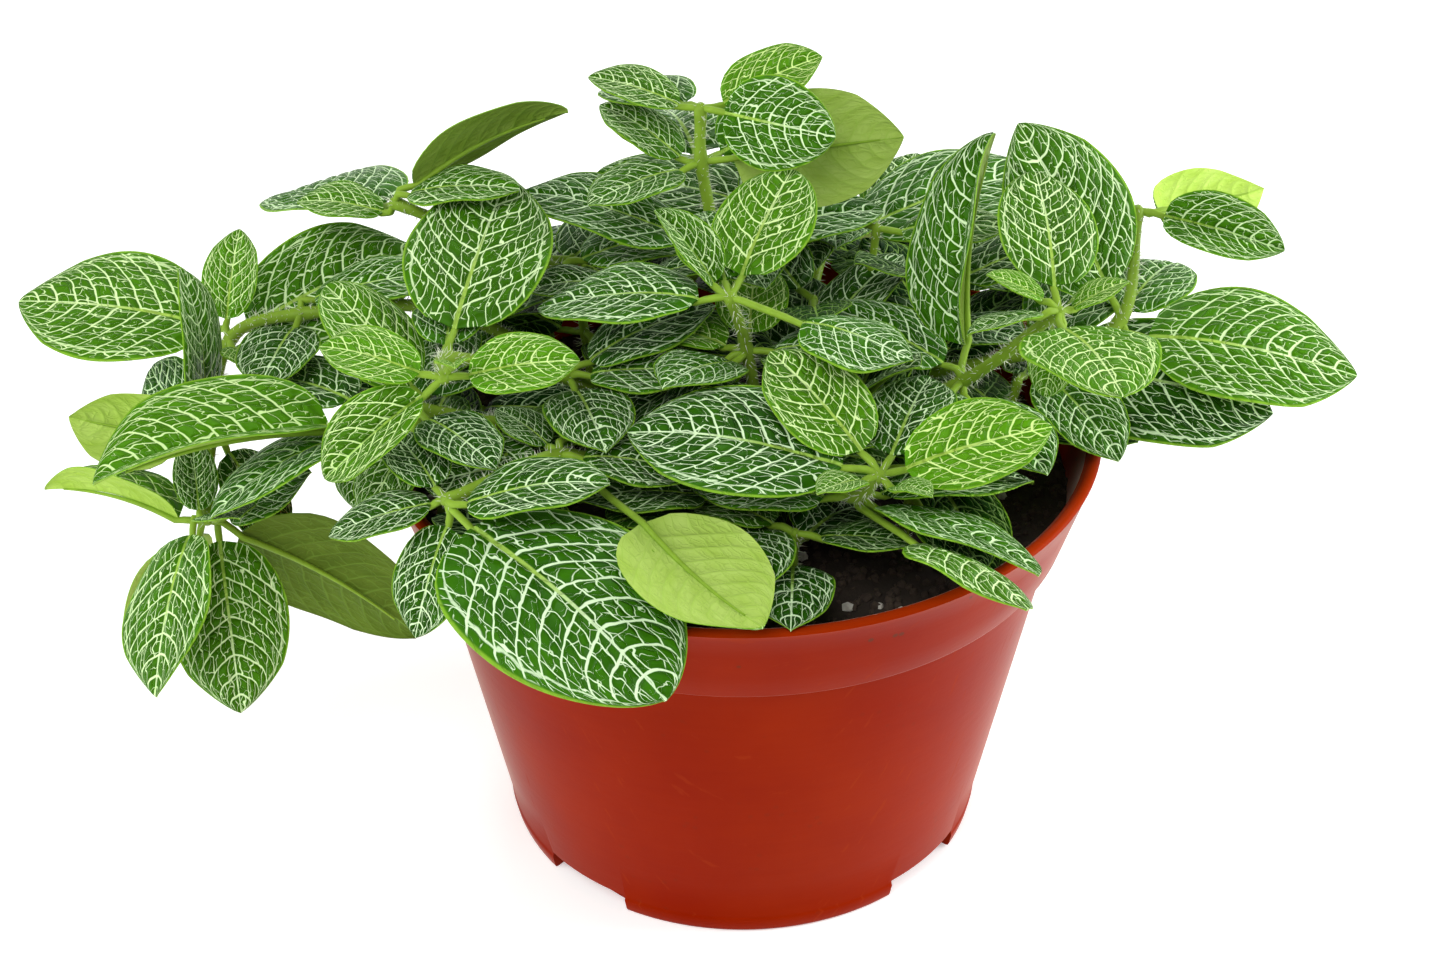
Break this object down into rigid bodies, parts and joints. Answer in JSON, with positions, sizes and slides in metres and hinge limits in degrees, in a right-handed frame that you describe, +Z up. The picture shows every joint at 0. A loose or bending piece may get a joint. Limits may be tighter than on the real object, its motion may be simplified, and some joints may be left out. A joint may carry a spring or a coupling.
{
  "type": "potted nerve plant",
  "caption": "Veined trailing house plant with ovate net-patterned leaves, rooted in soil in a round tapered nursery pot with a flared rim.",
  "frame": {"origin": "middle of the pot's flat underside, on the surface it stands on", "axes": "+Z up; -Y is the front, where the largest leaf hangs over the rim; +X is to the right seen from the front"},
  "size_m": [0.2938, 0.2168, 0.1629],
  "materials": {
    "pot_plastic": "satin terracotta-coloured moulded plastic",
    "soil": "damp dark crumbly potting mix with a few white perlite grains",
    "stem": "soft green stem with fine pale hairs",
    "leaf": "satin dark green blade with a raised net of whitish veins",
    "young_leaf": "satin lime green blade with fine pale yellow veins"
  },
  "bodies": {
    "root": {"back_blade_leaf": "young_leaf", "back_centre_stem": "stem", "back_far_left_leaf": "leaf", "back_inner_leaf": "leaf", "back_left_low_leaf": "leaf", "back_left_stem": "stem", "back_middle_leaf": "leaf", "centre_fall_leaf": "leaf", "centre_left_leaf": "leaf", "centre_round_leaf": "leaf", "centre_stem": "stem", "crown_left_leaf": "leaf", "far_left_leaf": "leaf", "far_right_stem": "stem", "front_centre_stem": "stem", "front_great_leaf": "leaf", "front_inner_leaf": "leaf", "front_left_stem": "stem", "front_pale_leaf": "young_leaf", "front_right_edge_leaf": "leaf", "front_right_low_leaf": "leaf", "front_right_new_leaf": "young_leaf", "front_right_under_leaf": "young_leaf", "hanging_back_leaf": "leaf", "hanging_front_leaf": "leaf", "hanging_left_leaf": "leaf", "hanging_outer_leaf": "young_leaf", "left_blade_leaf": "leaf", "left_low_stem": "stem", "left_lower_leaf": "leaf", "left_middle_leaf": "leaf", "left_reach_leaf": "leaf", "left_return_leaf": "leaf", "left_shade_leaf": "leaf", "left_trail_stem": "stem", "left_under_leaf": "leaf", "lime_fold_leaf": "young_leaf", "long_left_leaf": "young_leaf", "middle_lime_leaf": "young_leaf", "middle_wide_leaf": "leaf", "pot": "pot_plastic", "potting_soil": "soil", "rear_drop_leaf": "leaf", "rear_left_leaf": "leaf", "rear_right_leaf": "leaf", "rear_stem": "stem", "right_back_leaf": "leaf", "right_crown_leaf": "leaf", "right_curl_leaf": "young_leaf", "right_fold_leaf": "leaf", "right_front_leaf": "leaf", "right_stem": "stem", "right_tall_leaf": "leaf", "right_tip_leaf": "leaf", "right_wide_leaf": "leaf", "shoulder_left_leaf": "young_leaf", "top_broad_leaf": "leaf", "top_middle_leaf": "leaf", "top_rear_leaf": "leaf", "upper_left_stem": "stem"}
  },
  "joints": []
}
